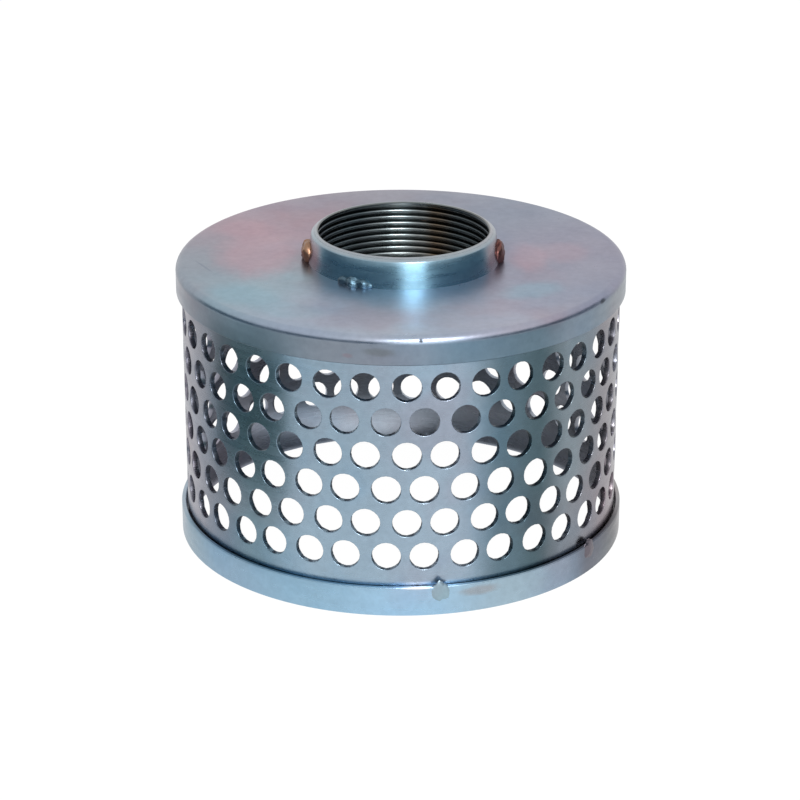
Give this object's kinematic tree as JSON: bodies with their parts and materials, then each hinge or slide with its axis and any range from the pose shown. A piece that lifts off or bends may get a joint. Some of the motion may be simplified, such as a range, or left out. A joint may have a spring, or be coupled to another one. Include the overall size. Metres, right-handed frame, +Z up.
{
  "type": "hose suction strainer",
  "caption": "Round sheet-metal suction strainer with a punched drum, a pressed cap with a threaded collar, and a stiffening hoop round its open foot.",
  "frame": {"origin": "drum axis at floor level, in the plane of the drum's open foot", "axes": "+Z up along the drum axis, out of the threaded collar; the front is towards -Y; the collar stands a little off the axis towards +X"},
  "size_m": [0.1512, 0.1513, 0.106],
  "materials": {
    "plated_sheet": "bright zinc plated sheet steel, blue passivate with faint pink and yellow patches",
    "plated_band": "bright zinc plated strip, pale blue passivate",
    "plated_collar": "turned steel, bright zinc plated, deep blue where it is smooth",
    "weld_metal": "weld dabs, plated over, duller than the sheet"
  },
  "bodies": {
    "root": {"perforated_drum": "plated_sheet", "top_cap": "plated_sheet", "threaded_collar": "plated_collar", "base_hoop": "plated_band", "hoop_weld_a": "weld_metal", "hoop_weld_b": "weld_metal", "hoop_weld_c": "weld_metal", "hoop_weld_d": "weld_metal", "hoop_weld_e": "weld_metal", "collar_weld_left": "weld_metal", "collar_weld_front": "weld_metal", "collar_weld_right": "weld_metal", "collar_weld_back": "weld_metal"}
  },
  "joints": []
}
